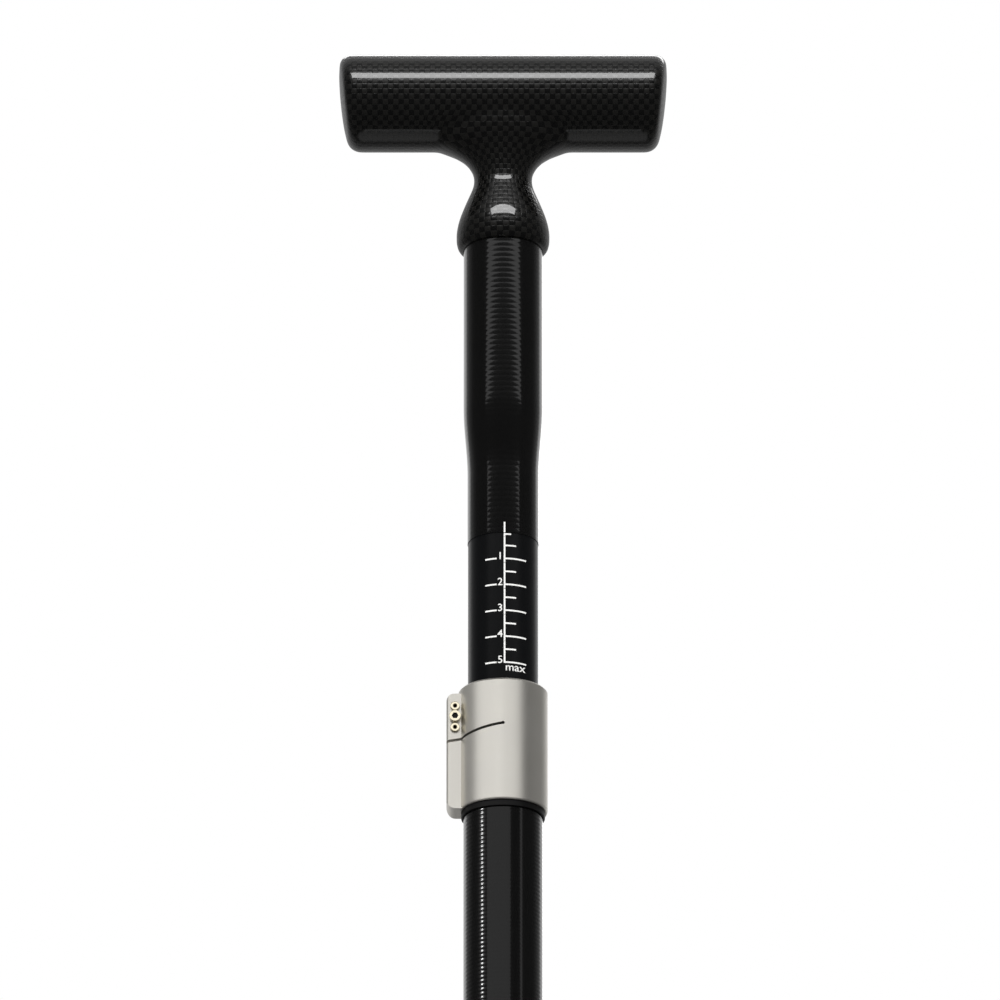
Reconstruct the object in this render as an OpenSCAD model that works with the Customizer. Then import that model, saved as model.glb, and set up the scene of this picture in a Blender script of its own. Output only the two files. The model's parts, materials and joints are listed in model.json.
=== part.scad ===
// Long-handled beach sand scoop: a perforated stainless bucket on a two-part carbon shaft.
// The upper shaft carries a T-grip, slides in the lower shaft and is held by a quick-release clamp.
// +Z runs up the shaft axis, +X along the T-grip, +Y ahead of the user.
// The origin is where the shaft axis meets the outer face of the bucket's sole.

/* [Shaft] */
// Outside diameter of the lower tube and of the thick part of the handle tube
tube_od = 28.6; // [26:0.1:34]
// Wall of the carbon tubes
tube_wall = 1.6; // [1.2:0.1:2]
// Height of the clamp's top rim above the origin
clamp_top = 880; // [700:5:1050]
// How far the zero mark stands above the clamp's top rim, with the handle drawn out
draw = 57; // [30:1:90]
// Length of the ferrule below the zero mark
ferrule_len = 165; // [140:1:220]
// Length from the zero mark to the start of the swelling
slim_len = 26; // [10:1:40]
// Length of the swelling
swell_len = 27; // [15:1:40]
// Length from the zero mark to the T-grip's collar
handle_len = 114; // [90:1:200]
// Height at which the lower tube's foot sits in the socket
tube_foot = 158; // [156:1:185]

/* [T-grip] */
// Length of the T-grip's bar
bar_len = 118.4; // [90:0.1:150]
// Diameter of the bar
bar_d = 34.6; // [28:0.1:42]
// Height of the bar's axis above the collar's bottom edge
bar_rise = 58; // [52:0.5:75]
// Lean of the bar's end faces
bar_lean = 6; // [0:0.5:8]
// Radius of the bar's end corners
bar_corner = 5; // [2:0.5:7]
// Narrowest diameter of the neck
neck_d = 20.3; // [18:0.1:26]
// How much wider the collar is than the tube
collar_step = 4.6; // [2:0.1:8]
// Wall of the T-grip moulding
grip_wall = 2; // [1.5:0.1:2]
// Length of the T-grip's spigot in the handle tube
spigot_len = 40; // [25:1:50]

/* [Clamp] */
// Height of the clamp body
clamp_h = 46.5; // [40:0.5:60]
// Wall of the clamp body round the tube
clamp_wall = 1.75; // [1.5:0.05:3]
// Height of the tightening zone above the slit, at the front
zone_h = 17.5; // [16:0.5:20]
// Width of the clamp's slits
slit_w = 1; // [0.8:0.1:1.4]
// Slope of the level slit, down towards the lug
slit_slope = 9.5; // [0:0.5:12]
// Width of the lug across X
lug_w = 6.2; // [5.6:0.1:7]
// Depth of the lug along Y
lug_depth = 11.2; // [9:0.1:14]
// Diameter of the tension bolt
bolt_d = 3; // [2.5:0.1:3]
// Diameter of the guide pins
guide_d = 3.4; // [2.5:0.1:3.6]
// Distance from the tension bolt to each guide pin
guide_pitch = 4.1; // [4:0.1:4.6]
// Height of the cam lever's arm
lever_h = 9; // [8:0.5:12]
// Thickness of the cam lever's arm
lever_t = 2.6; // [2:0.1:4]
// How far round the clamp the lever's arm reaches
lever_reach = 92; // [60:1:100]

/* [Bucket] */
// Angle of the bucket's sole below the horizontal
head_tilt = 55; // [50:1:60]
// Overall width of the bucket
bucket_w = 150; // [135:1:180]
// Width of the flat sole
sole_w = 100; // [90:1:104]
// Height of the bucket
bucket_h = 115; // [100:1:130]
// Distance along the sole from the origin back to the back plate
sole_back = 114; // [110:1:122]
// Distance along the sole from the origin to the lip's root
sole_front = 56; // [40:1:80]
// Length of the hood over the bucket's back end
hood_len = 54; // [40:1:64]
// Sheet thickness
sheet_t = 2; // [1.5:0.1:3]
// Thickness of the digging lip
lip_t = 4; // [3:0.1:5]
// Width of the lip's sharpened bevel
lip_bevel = 6; // [3:0.5:9]
// Diameter of the sieve holes
hole_d = 9; // [6:0.5:10]
// Distance between sieve holes
hole_pitch = 14; // [13:0.5:18]
// Width of the flat bars beside the mouth
rim_w = 9; // [6:0.5:12]
// Thickness of the flat bars beside the mouth
rim_t = 3; // [2:0.5:5]
// Diameter of the rod at the hood's edge
rod_d = 6; // [5:0.5:8]

/* [Socket and step] */
// Wall of the socket tube
socket_wall = 2.2; // [1.5:0.1:3]
// Height of the socket's top edge
socket_top = 262; // [245:1:300]
// Heights of the two cross bolts
cross_bolt_z = [196, 240]; // [180:1:255]
// Diameter of the cross bolts
cross_d = 6; // [5:1:6]
// Thickness of the gusset plates
gusset_t = 4; // [3:0.5:6]
// Height of the foot step's underside
step_z = 114; // [108:1:118]
// Width of the foot step
step_w = 132; // [110:1:140]
// Distance from the shaft axis to the step's rear edge
step_back = 80; // [70:1:90]
// Thickness of the foot step
step_t = 4; // [3:0.5:5]
// Diameter of the hanging hole
hang_d = 10; // [8:0.5:12]

/* [Hidden] */
$fn = 96;
gap = 0.05;          // radial clearance of a running fit
seat_gap = 0.1;      // clearance of a seated or bonded fit
over = 1;            // overshoot of a cutting body
far = 400;           // size of a half-space's block

tube_r = tube_od / 2;
tube_bore_r = tube_r - tube_wall;
ferrule_r = tube_bore_r - gap;
ferrule_bore_r = ferrule_r - tube_wall;
slim_r = ferrule_r + 0.2; // the handle tube is a shade wider than the ferrule at the seam
slim_bore_r = slim_r - tube_wall;
zero_z = clamp_top + draw;
grip_z = zero_z + handle_len;
bar_z = grip_z + bar_rise;
bar_r = bar_d / 2;
collar_r = tube_r + collar_step / 2;
collar_seat = 3;     // how deep the handle tube sits in the collar
neck_r = neck_d / 2;
neck_z = bar_z - bar_r - 12.7;
flare_w = 16;
spigot_r = tube_bore_r - seat_gap;
spigot_bore_r = spigot_r - grip_wall;
glue_len = 22;       // length of the ferrule's stem in the handle tube
plug_len = 16;

clamp_r = tube_r + gap + clamp_wall;
clamp_bore_r = tube_r + gap;
clamp_foot = clamp_top - clamp_h;
rim_chamfer = 0.8;
lip_h = 2.5;         // the clamp's top lip, which holds the wiper ring
lip_bore_r = ferrule_r + gap;
wiper_h = 4.3;
tube_top = clamp_top - lip_h - wiper_h - 2 * seat_gap;
sleeve_r = clamp_r - 1;
sleeve_depth = 12;
sleeve_show = 2.2;
nut_r = 2.1;
nut_clear = 0.124;      // from the tension nut to the clamp's ring, at the lug's front face
lug_x = -(sqrt(pow(clamp_r, 2) - pow(lug_depth / 2 + gap, 2)) + nut_r + nut_clear);
lug_left = lug_x - lug_w / 2;
lug_front_r = 1.4;
lug_rear_r = 2.4;
lug_top = clamp_top - lip_h;
bolt_z = clamp_top - 11.6;
front_y = -lug_depth / 2;
rear_y = lug_depth / 2 - 0.4;   // a flat is cut there for the cam pad
pad_w = 4.6;
pad_t = 1.4;
cam_r = 2.6;
cam_throw = 0.35;
pivot_y = rear_y + pad_t + cam_r + cam_throw + gap;
pivot_d = 2;
tongue_t = 2.4;
nut_h = 1.9;
lever_r = clamp_r + 0.8;
lever_start = 136;

chamfer_w = (bucket_w - sole_w) / 2;
mouth_slope = 0.62;
mouth_foot = sole_front + 6;
hood_front = hood_len - sole_back;
sheet_mitre = sheet_t * tan(22.5);
edge_land = 5;       // solid margin beside a sieve hole
row_pitch = hole_pitch * sin(60);
socket_bore_r = tube_r + seat_gap;
socket_r = socket_bore_r + socket_wall;
hex_w = cross_d * 1.67;
hex_r = hex_w / 2 / cos(30);
washer_t = 1.6;
nut_t = cross_d;
hang_x = step_w / 2 - 10;
hang_y = 10 - step_back;

// ---------------------------------------------------------------- helpers

// Puts children drawn in the bucket's frame (x across, y to the lip, z off the sole) in place.
module head() rotate([-head_tilt, 0, 0]) children();

// Everything ahead of the back plate's outer face.
module ahead_of_back() head() translate([-far, -sole_back, -far]) cube(2 * far);

module ring(r_out, r_in, z, h) {
    translate([0, 0, z]) difference() {
        cylinder(r = r_out, h = h);
        translate([0, 0, -over]) cylinder(r = r_in, h = h + 2 * over);
    }
}

module along_y(x, y, z, r, len) translate([x, y, z]) rotate([-90, 0, 0]) cylinder(r = r, h = len);

module hexagon(r, h) cylinder(r = r, h = h, $fn = 6);

function ease(t) = (1 - cos(180 * t)) / 2;

// ---------------------------------------------------------------- T-grip and handle

swell_steps = 12;
function swell(r_low, r_high) = [for (i = [0 : swell_steps])
    [r_low + (r_high - r_low) * ease(i / swell_steps),
     zero_z + slim_len + swell_len * i / swell_steps]];

neck_steps = 12;
collar_h = 6;
function collar_outline() = [for (i = [0 : neck_steps])
    [neck_r + (collar_r - neck_r) * (1 - ease(i / neck_steps)),
     grip_z + collar_h + (neck_z - grip_z - collar_h) * i / neck_steps]];
function flare_outline() = [for (i = [0 : neck_steps])
    let (t = 0.98 * i / neck_steps)
    [neck_r + flare_w * (1 - sqrt(1 - t * t)), neck_z + (bar_z - bar_r - neck_z) * t]];

module bar_solid() {
    flat = bar_len / 2 - bar_corner;
    intersection() {
        translate([0, 0, bar_z]) rotate([0, 90, 0]) rotate_extrude() union() {
            translate([0, -flat]) square([bar_r, 2 * flat]);
            translate([0, -bar_len / 2]) square([bar_r - bar_corner, bar_len]);
            for (s = [-1, 1]) translate([bar_r - bar_corner, s * flat]) circle(r = bar_corner);
        }
        translate([0, far / 2, bar_z + bar_r]) rotate([90, 0, 0]) linear_extrude(far)
            polygon([[-bar_len / 2, 0], [bar_len / 2, 0],
                     [bar_len / 2 - bar_d * tan(bar_lean), -bar_d],
                     [bar_d * tan(bar_lean) - bar_len / 2, -bar_d]]);
    }
}

module t_grip() color("#15161a") {
    difference() {
        union() {
            bar_solid();
            rotate_extrude() polygon(concat(
                [[0, grip_z], [collar_r - 1.6, grip_z], [collar_r - 0.5, grip_z + 1.6]],
                collar_outline(), [[0, neck_z]]));
            intersection() {
                rotate_extrude() polygon(concat(
                    [[0, neck_z]], flare_outline(), [[0, bar_z - bar_r]]));
                translate([-far / 2, -neck_r - 0.5, neck_z - over]) cube([far, neck_d + 1, far]);
            }
            translate([0, 0, neck_z - over]) cylinder(r = neck_r, h = bar_z - neck_z);
        }
        translate([0, 0, grip_z - over]) cylinder(r = tube_r + seat_gap, h = collar_seat + over);
        translate([0, 0, grip_z]) cylinder(r = neck_r - grip_wall, h = bar_rise);
        translate([grip_wall + bar_corner - bar_len / 2, 0, bar_z]) rotate([0, 90, 0])
            cylinder(r = bar_r - grip_wall, h = bar_len - 2 * (grip_wall + bar_corner));
    }
    ring(spigot_r, spigot_bore_r, grip_z + collar_seat - spigot_len, spigot_len + grip_wall);
}

module handle_tube() color("#101114") {
    top = grip_z + collar_seat - seat_gap;
    rotate_extrude() polygon(concat(
        [[slim_bore_r, zero_z], [slim_r, zero_z]],
        swell(slim_r, tube_r), [[tube_r, top], [tube_bore_r, top]],
        [for (p = [swell_steps : -1 : 0]) swell(slim_bore_r, tube_bore_r)[p]]));
}

module scale_ferrule() color("#18191c") {
    foot = zero_z - ferrule_len;
    stem_r = slim_bore_r - seat_gap;
    difference() {
        union() {
            translate([0, 0, foot]) cylinder(r = ferrule_r, h = ferrule_len - seat_gap / 2);
            translate([0, 0, foot]) cylinder(r = stem_r, h = ferrule_len + glue_len);
        }
        translate([0, 0, foot - over])
            cylinder(r = stem_r - tube_wall, h = ferrule_len + glue_len + 2 * over);
    }
}

module ferrule_plug() color("#202020") {
    foot = zero_z - ferrule_len;
    bore_r = slim_bore_r - seat_gap - tube_wall;
    translate([0, 0, foot - 2]) cylinder(r = ferrule_r - 0.4, h = 2 - seat_gap / 2);
    translate([0, 0, foot - 2]) cylinder(r = bore_r - gap, h = plug_len);
}

// ---------------------------------------------------------------- clamp

module wiper_ring() color("#1a1a1a")
    ring(clamp_bore_r - seat_gap, ferrule_r + gap, tube_top + seat_gap, wiper_h);

// The lug's outline from above, with small corners in front and larger ones behind.
module lug_plan() {
    translate([lug_left, front_y + lug_front_r])
        square([-lug_left - clamp_bore_r - 0.3, lug_depth - lug_front_r - lug_rear_r]);
    translate([lug_left + lug_rear_r, front_y]) square([-lug_left - clamp_bore_r - 0.3 - lug_rear_r, lug_depth]);
    translate([lug_left + lug_front_r, front_y]) square([lug_rear_r, 2 * lug_front_r]);
    translate([lug_left + lug_front_r, front_y + lug_front_r]) circle(r = lug_front_r);
    translate([lug_left + lug_rear_r, -front_y - lug_rear_r]) circle(r = lug_rear_r);
}

// The lug's outline from the front: round at its outer corners.
module lug_front() {
    low_r = 3.4;
    top_r = 2.8;
    translate([lug_left, clamp_foot + low_r])
        square([far, lug_top - clamp_foot - low_r - top_r]);
    translate([lug_left + low_r, clamp_foot]) square([far, lug_top - clamp_foot]);
    translate([lug_left + low_r, clamp_foot + low_r]) circle(r = low_r);
    translate([lug_left + top_r, lug_top - top_r]) circle(r = top_r);
    translate([lug_left + top_r, lug_top - 2 * top_r]) square([far, 2 * top_r]);
}

module clamp_slits() {
    // Below the tightening zone, round the lug's half of the ring.
    translate([0, 0, clamp_top - zone_h]) {
        rotate([0, -slit_slope, 0]) {
            translate([-far, -far / 2, -slit_w / 2]) cube([far, far, slit_w]);
            // Up through the lug, between its two ears.
            translate([-far, -slit_w / 2, 0]) cube([far - 12, slit_w, far]);
        }
        along_y(0, -far / 2, 0, slit_w * 0.6, far);
    }
}

module clamp_body() color("#b9b7b1") difference() {
    union() {
        translate([0, 0, clamp_foot + rim_chamfer])
            cylinder(r = clamp_r, h = clamp_h - 2 * rim_chamfer);
        translate([0, 0, clamp_foot])
            cylinder(r1 = clamp_r - rim_chamfer / 2, r2 = clamp_r, h = rim_chamfer);
        translate([0, 0, clamp_top - rim_chamfer])
            cylinder(r1 = clamp_r, r2 = clamp_r - rim_chamfer, h = rim_chamfer);
        intersection() {
            translate([0, 0, clamp_foot]) linear_extrude(lug_top - clamp_foot) lug_plan();
            translate([0, far / 2, 0]) rotate([90, 0, 0]) linear_extrude(far) lug_front();
        }
    }
    translate([0, 0, clamp_foot - over]) cylinder(r = clamp_bore_r, h = clamp_h + over - lip_h);
    translate([0, 0, clamp_foot - over]) cylinder(r = lip_bore_r, h = clamp_h + 2 * over);
    translate([0, 0, clamp_foot - over]) cylinder(r = sleeve_r + gap, h = sleeve_depth + over);
    clamp_slits();
    along_y(lug_x, -far / 2, bolt_z, bolt_d / 2 + seat_gap, far);
    for (s = [-1, 1])
        along_y(lug_x, -far / 2, bolt_z + s * guide_pitch, guide_d / 2 + gap, far);
    // Flat for the cam pad
    translate([lug_left - over, rear_y, bolt_z - 6.4])
        cube([lug_w + over, far, far]);
}

module clamp_sleeve() color("#141414")
    ring(sleeve_r, tube_r + gap, clamp_foot - sleeve_show, sleeve_show + sleeve_depth - seat_gap);

module guide_pins() color("#d9d7cf") for (s = [-1, 1]) difference() {
    along_y(lug_x, front_y - 1.1, bolt_z + s * guide_pitch, guide_d / 2, rear_y - front_y + 0.9);
    along_y(lug_x, -far / 2, bolt_z + s * guide_pitch, guide_d / 2 - 1.05, far);
}

module tension_bolt() color("#c8c8c8") {
    difference() {
        union() {
            along_y(lug_x, front_y - 1.2, bolt_z, bolt_d / 2, 1.2 - front_y + pivot_y);
            translate([lug_x, pivot_y, bolt_z - tongue_t / 2]) cylinder(r = cam_r - 0.3, h = tongue_t);
        }
        translate([lug_x, pivot_y, bolt_z - far / 2]) cylinder(r = pivot_d / 2 + gap / 2, h = far);
        for (s = [-1, 1]) translate([lug_x - far / 2, rear_y + pad_t, s > 0 ?
            bolt_z + tongue_t / 2 : bolt_z - tongue_t / 2 - far]) cube(far);
    }
}

module tension_nut() color("#e2e0d8") difference() {
    along_y(lug_x, front_y - nut_h - gap, bolt_z, nut_r, nut_h);
    along_y(lug_x, front_y - 1.3, bolt_z, bolt_d / 2 + gap, 5);
    // Hexagon recess for the key
    translate([lug_x, front_y - nut_h - over, bolt_z]) rotate([-90, 0, 0]) hexagon(1.15, 2 * over);
}

module cam_pad() color("#303030") difference() {
    translate([lug_x - pad_w / 2, rear_y + gap, bolt_z - 6.2]) cube([pad_w, pad_t - gap, 12.4]);
    along_y(lug_x, 0, bolt_z, bolt_d / 2 + seat_gap, far);
}

// The lever's arm: a strip with rounded faces that follows the clamp round its back.
module lever_arm() {
    edge = lever_t / 2;
    lever_end = lever_start - lever_reach;
    translate([0, 0, bolt_z]) intersection() {
        rotate_extrude() union() {
            translate([lever_r, edge - lever_h / 2]) square([lever_t, lever_h - lever_t]);
            for (s = [-1, 1])
                translate([lever_r + edge, s * (lever_h / 2 - edge)]) circle(r = edge);
        }
        translate([0, 0, -lever_h]) linear_extrude(2 * lever_h) polygon([[0, 0],
            for (t = [0, 0.5, 1]) far * [cos(lever_start - t * lever_reach), sin(lever_start - t * lever_reach)]]);
    }
    // Round end of the arm
    rotate([0, 0, lever_end]) translate([lever_r + edge, 0, bolt_z + 0.7 * edge - lever_h / 2])
        cylinder(r = edge, h = lever_h - 0.7 * lever_t);
}

module cam_lever() color("#a9a8a4") difference() {
    root = [lever_r * cos(lever_start), lever_r * sin(lever_start)];
    root_out = root * (lever_r + lever_t) / lever_r;
    cheek_h = 7.6;
    union() {
        lever_arm();
        translate([lug_x, pivot_y - cam_throw, bolt_z - cheek_h / 2]) cylinder(r = cam_r, h = cheek_h);
        translate([0, 0, bolt_z - cheek_h / 2]) linear_extrude(cheek_h) polygon([
            [lug_x - 1.2, pivot_y + cam_r - 0.75], [lug_x + 1.9, pivot_y - 1.6],
            root, root * 1.002 + [0.9, 0.75], root_out + [0.9, 0.75], root_out]);
    }
    translate([lug_x, pivot_y, bolt_z - far / 2]) cylinder(r = pivot_d / 2 + gap, h = far);
    // Fork slot for the bolt's tongue, open through the half turn that the lever makes
    translate([lug_x, pivot_y, bolt_z - tongue_t / 2 - gap])
        cylinder(r = cam_r + 0.25, h = tongue_t + 2 * gap);
    translate([lug_x - far, pivot_y - 5, bolt_z - tongue_t / 2 - gap])
        cube([far + bolt_d / 2 + gap, 5, tongue_t + 2 * gap]);
}

module lever_pin() color("#d0cec6")
    translate([lug_x, pivot_y, bolt_z - 4.1]) cylinder(r = pivot_d / 2, h = 8.2);

// ---------------------------------------------------------------- lower shaft and socket

module cross_holes(r) for (z = cross_bolt_z)
    translate([-far / 2, 0, z]) rotate([0, 90, 0]) cylinder(r = r, h = far);

module lower_tube() color("#0f1012") difference() {
    ring(tube_r, tube_bore_r, tube_foot, tube_top - tube_foot);
    cross_holes(cross_d / 2 + seat_gap);
    // Four slits let the clamp squeeze the tube's end.
    for (a = [0, 90]) rotate([0, 0, a + 45]) translate([-far / 2, -0.8, tube_top - 26])
        cube([far, 1.6, far]);
}

module tube_plug() color("#202020")
    translate([0, 0, tube_foot + over]) cylinder(r = tube_bore_r - gap, h = plug_len);

module socket_tube() color("#b4b6b8") difference() {
    translate([0, 0, 90]) cylinder(r = socket_r, h = socket_top - 90);
    translate([0, 0, 80]) cylinder(r = socket_bore_r, h = far);
    ahead_of_back();
    cross_holes(cross_d / 2 + seat_gap);
}

bolt_head_t = cross_d * 0.67;
under_head = socket_r + 0.6 + washer_t;

module cross_bolts() color("#c9cacc") for (z = cross_bolt_z) {
    translate([-under_head - bolt_head_t, 0, z]) rotate([0, 90, 0]) hexagon(hex_r, bolt_head_t);
    translate([-under_head - over, 0, z]) rotate([0, 90, 0])
        cylinder(r = cross_d / 2, h = 2 * under_head + nut_t + over + 1.5);
}

module cross_washers() color("#c9cacc") for (z = cross_bolt_z, s = [-1, 1])
    translate([s > 0 ? under_head - washer_t : -under_head, 0, z]) rotate([0, 90, 0]) difference() {
        cylinder(r = cross_d, h = washer_t);
        translate([0, 0, -over]) cylinder(r = cross_d / 2 + seat_gap, h = far);
    }

module cross_nuts() color("#c9cacc") for (z = cross_bolt_z)
    translate([under_head, 0, z]) rotate([0, 90, 0]) difference() {
        hexagon(hex_r, nut_t);
        translate([0, 0, -over]) cylinder(r = cross_d / 2, h = far);
    }

// A plate in the shaft's middle plane, from (y, z) points.
module mid_plate(points) translate([gusset_t / 2, 0, 0]) rotate([90, 0, -90])
    linear_extrude(gusset_t) polygon([for (p = points) [-p[0], p[1]]]);

// Row-frame (y, z) of a point that is given along the sole and off it.
function on_head(y, z) = [y * cos(head_tilt) + z * sin(head_tilt),
                          z * cos(head_tilt) - y * sin(head_tilt)];

module socket_shadow() translate([0, 0, 60]) cylinder(r = socket_r, h = far);

module front_gusset() color("#b4b6b8") difference() {
    top_corner = on_head(-sole_back, bucket_h);
    mid_plate([[socket_r - 3, top_corner[1] - 12], [socket_r - 3, 222],
               [socket_r + 4, 222], on_head(hood_front - 8, bucket_h + 4),
               on_head(hood_front - 8, bucket_h), top_corner]);
    socket_shadow();
    head() translate([-far / 2, -sole_back, bucket_h - far]) cube([far, far, far]);
}

gusset_foot = on_head(-sole_back - 4, 14);

module rear_gusset() color("#b4b6b8") difference() {
    mid_plate([[3 - socket_r, 100], [3 - socket_r, 196], [-socket_r - 4, 196],
               gusset_foot, on_head(-sole_back, 14), on_head(-sole_back + 3, 20)]);
    socket_shadow();
    ahead_of_back();
}

module foot_step() color("#b4b6b8") difference() {
    corner = 8;
    translate([0, 0, step_z]) linear_extrude(step_t) union() {
        translate([-step_w / 2, corner - step_back]) square([step_w, step_back]);
        translate([corner - step_w / 2, -step_back]) square([step_w - 2 * corner, step_back]);
        for (s = [-1, 1]) translate([s * (step_w / 2 - corner), corner - step_back])
            circle(r = corner);
    }
    ahead_of_back();
    // Slot for the rear gusset
    translate([-gusset_t / 2 - seat_gap, gusset_foot[0], step_z - over])
        cube([gusset_t + 2 * seat_gap, far, step_t + 2 * over]);
    // Tread holes
    for (s = [-1, 1], i = [0 : 2], j = [0 : 1])
        translate([s * (14 + 15 * i + 7 * j), -step_back + 12 + 14 * j, step_z - over])
            cylinder(r = 3.5, h = step_t + 2 * over);
    // Hanging hole
    translate([hang_x, hang_y, step_z - over]) cylinder(r = hang_d / 2, h = step_t + 2 * over);
}

module step_braces() color("#b4b6b8") for (s = [-1, 1])
    translate([s * (step_w / 2 - 22), 0, 0]) difference() {
        mid_plate([[8 - step_back, step_z], [0, step_z], on_head(3 - sole_back, 8),
                   on_head(-sole_back, 8), [8 - step_back, step_z - 3]]);
        ahead_of_back();
        translate([-far / 2, -far / 2, step_z]) cube(far);
    }

// ---------------------------------------------------------------- bucket

// Cuts off what is ahead of the slanted mouth.
module mouth_cut() translate([-far / 2, 0, 0]) rotate([90, 0, 90]) linear_extrude(far)
    polygon([[mouth_foot + 0.62 * 20, -20], [mouth_foot - mouth_slope * 140, 140], [far, 140], [far, -20]]);

// Sieve holes in rows across a panel, drilled along Z; rows start at y0 and every second one is shifted.
// A hole is left out where room(x, y) says that its land is missing.
module sieve(y0, y1, x0, x1, room = function (x, y) true) {
    rows = floor((y1 - y0) / row_pitch);
    lead = (y1 - y0 - rows * row_pitch) / 2;
    for (i = [0 : rows]) {
        shift = (i % 2) * hole_pitch / 2;
        n = floor((x1 - x0 - shift) / hole_pitch);
        for (j = [0 : n]) {
            x = x0 + shift + j * hole_pitch;
            y = y0 + lead + i * row_pitch;
            if (room(x, y)) translate([x, y, -far / 2]) cylinder(d = hole_d, h = far);
        }
    }
}

hole_land = hole_d / 2 + edge_land;

module sole_plate() color("#c2c4c6") head() difference() {
    translate([0, sole_front, 0]) rotate([90, 0, 0]) linear_extrude(sole_front + sole_back)
        polygon([[-sole_w / 2, 0], [sole_w / 2, 0],
                 [sole_w / 2 - sheet_mitre, sheet_t], [sheet_mitre - sole_w / 2, sheet_t]]);
    // Rows are kept symmetrical about the middle, with no hole at the origin.
    for (s = [-1, 1]) mirror([s > 0 ? 0 : 1, 0, 0])
        sieve(hole_land - sole_back, sole_front - hole_land + 2, hole_pitch / 2, sole_w / 2 - hole_land + 2);
}

// One panel of the folded wall, from its two bend lines (x, z) on the outside and inside.
module wall_panel(outside_a, outside_b, inside_b, inside_a) difference() {
    translate([0, far / 2, 0]) rotate([90, 0, 0]) linear_extrude(far / 2 + sole_back)
        polygon([outside_a, outside_b, inside_b, inside_a]);
    mouth_cut();
}

bend_low = [sole_w / 2, 0];
bend_high = [bucket_w / 2, chamfer_w];
bend_low_in = [sole_w / 2 - sheet_mitre, sheet_t];
bend_high_in = [bucket_w / 2 - sheet_t, chamfer_w + sheet_mitre];

module bevel_panel() head() difference() {
    wall_panel(bend_low, bend_high, bend_high_in, bend_low_in);
    translate([sole_w / 2, 0, 0]) rotate([0, -45, 0])
        sieve(hole_land - sole_back, mouth_foot - 24, 11, 11 + hole_pitch);
}

module side_panel() head() difference() {
    wall_panel(bend_high, [bucket_w / 2, bucket_h], [bucket_w / 2 - sheet_t, bucket_h], bend_high_in);
    // Holes stop clear of the slanted mouth and the bar along it.
    translate([bucket_w / 2, 0, 0]) rotate([0, -90, 0])
        sieve(hole_land - sole_back, mouth_foot, chamfer_w + 11, bucket_h - hole_land - 1,
              function (x, y) y + mouth_slope * x < mouth_foot - rim_w * 1.2 - hole_land);
}

module left_bevel() color("#c2c4c6") mirror([1, 0, 0]) bevel_panel();
module right_bevel() color("#c2c4c6") bevel_panel();
module left_side() color("#c2c4c6") mirror([1, 0, 0]) side_panel();
module right_side() color("#c2c4c6") side_panel();

module back_plate() color("#c2c4c6") head() difference() {
    translate([0, sheet_t - sole_back, 0]) rotate([90, 0, 0]) linear_extrude(sheet_t)
        polygon([bend_low_in, bend_high_in, [bucket_w / 2 - sheet_t, bucket_h - sheet_t],
                 [sheet_t - bucket_w / 2, bucket_h - sheet_t], [-bend_high_in[0], bend_high_in[1]],
                 [-bend_low_in[0], bend_low_in[1]]]);
    // Sieve holes each side of the socket
    for (s = [-1, 1]) mirror([s > 0 ? 0 : 1, 0, 0]) translate([0, -sole_back, 0]) rotate([90, 0, 0])
        sieve(16, bucket_h - 14, socket_r + 10, sole_w / 2 + 8);
}

module hood_plate() color("#c2c4c6") head() difference() {
    translate([sheet_t - bucket_w / 2, -sole_back, bucket_h - sheet_t])
        cube([bucket_w - 2 * sheet_t, hood_len, sheet_t]);
    for (s = [-1, 1]) mirror([s > 0 ? 0 : 1, 0, 0])
        sieve(hole_land - sole_back, hood_front - hole_land, hole_pitch, bucket_w / 2 - hole_land);
}

// A flat bar welded outside each side wall, up the slanted mouth and back along the top.
module rim_bar() {
    mouth_y = function (z) mouth_foot - mouth_slope * z - rim_w / 2;
    low = [mouth_y(chamfer_w + 8), chamfer_w + 8];
    corner = [mouth_y(bucket_h - rim_w / 2), bucket_h - rim_w / 2];
    back = [hood_front - rim_w, bucket_h - rim_w / 2];
    across = function (a, b) let (d = (b - a) / norm(b - a)) [-d[1], d[0]] * rim_w / 2;
    side_a = across(low, corner);
    side_b = across(corner, back);
    mitre = (side_a + side_b) / (1 + side_a * side_b / pow(rim_w / 2, 2));
    head() translate([bucket_w / 2 + seat_gap / 2, 0, 0]) rotate([90, 0, 90]) linear_extrude(rim_t)
        polygon([low + side_a, corner + mitre, back + side_b,
                 back - side_b, corner - mitre, low - side_a]);
}

module left_rim() color("#c8cacc") mirror([1, 0, 0]) rim_bar();
module right_rim() color("#c8cacc") rim_bar();

// A round rod stiffens the hood's front edge, between the side walls.
module hood_rod() color("#c8cacc") head()
    translate([seat_gap + sheet_t - bucket_w / 2, hood_front + rod_d / 2 + seat_gap, bucket_h - rod_d / 2])
        rotate([0, 90, 0]) cylinder(d = rod_d, h = bucket_w - 2 * (sheet_t + seat_gap));

module digging_lip() color("#b0b2b4") head() intersection() {
    translate([0, sole_front + gap, 0])
        cylinder(r1 = sole_w / 2, r2 = sole_w / 2 - lip_bevel, h = lip_t);
    translate([-far / 2, sole_front + gap, -over]) cube([far, far, far]);
}

t_grip();
handle_tube();
scale_ferrule();
ferrule_plug();
wiper_ring();
clamp_body();
clamp_sleeve();
guide_pins();
tension_bolt();
tension_nut();
cam_pad();
cam_lever();
lever_pin();
lower_tube();
tube_plug();
socket_tube();
cross_bolts();
cross_washers();
cross_nuts();
front_gusset();
rear_gusset();
foot_step();
step_braces();
sole_plate();
left_bevel();
right_bevel();
left_side();
right_side();
back_plate();
hood_plate();
hood_rod();
left_rim();
right_rim();
digging_lip();
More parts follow.
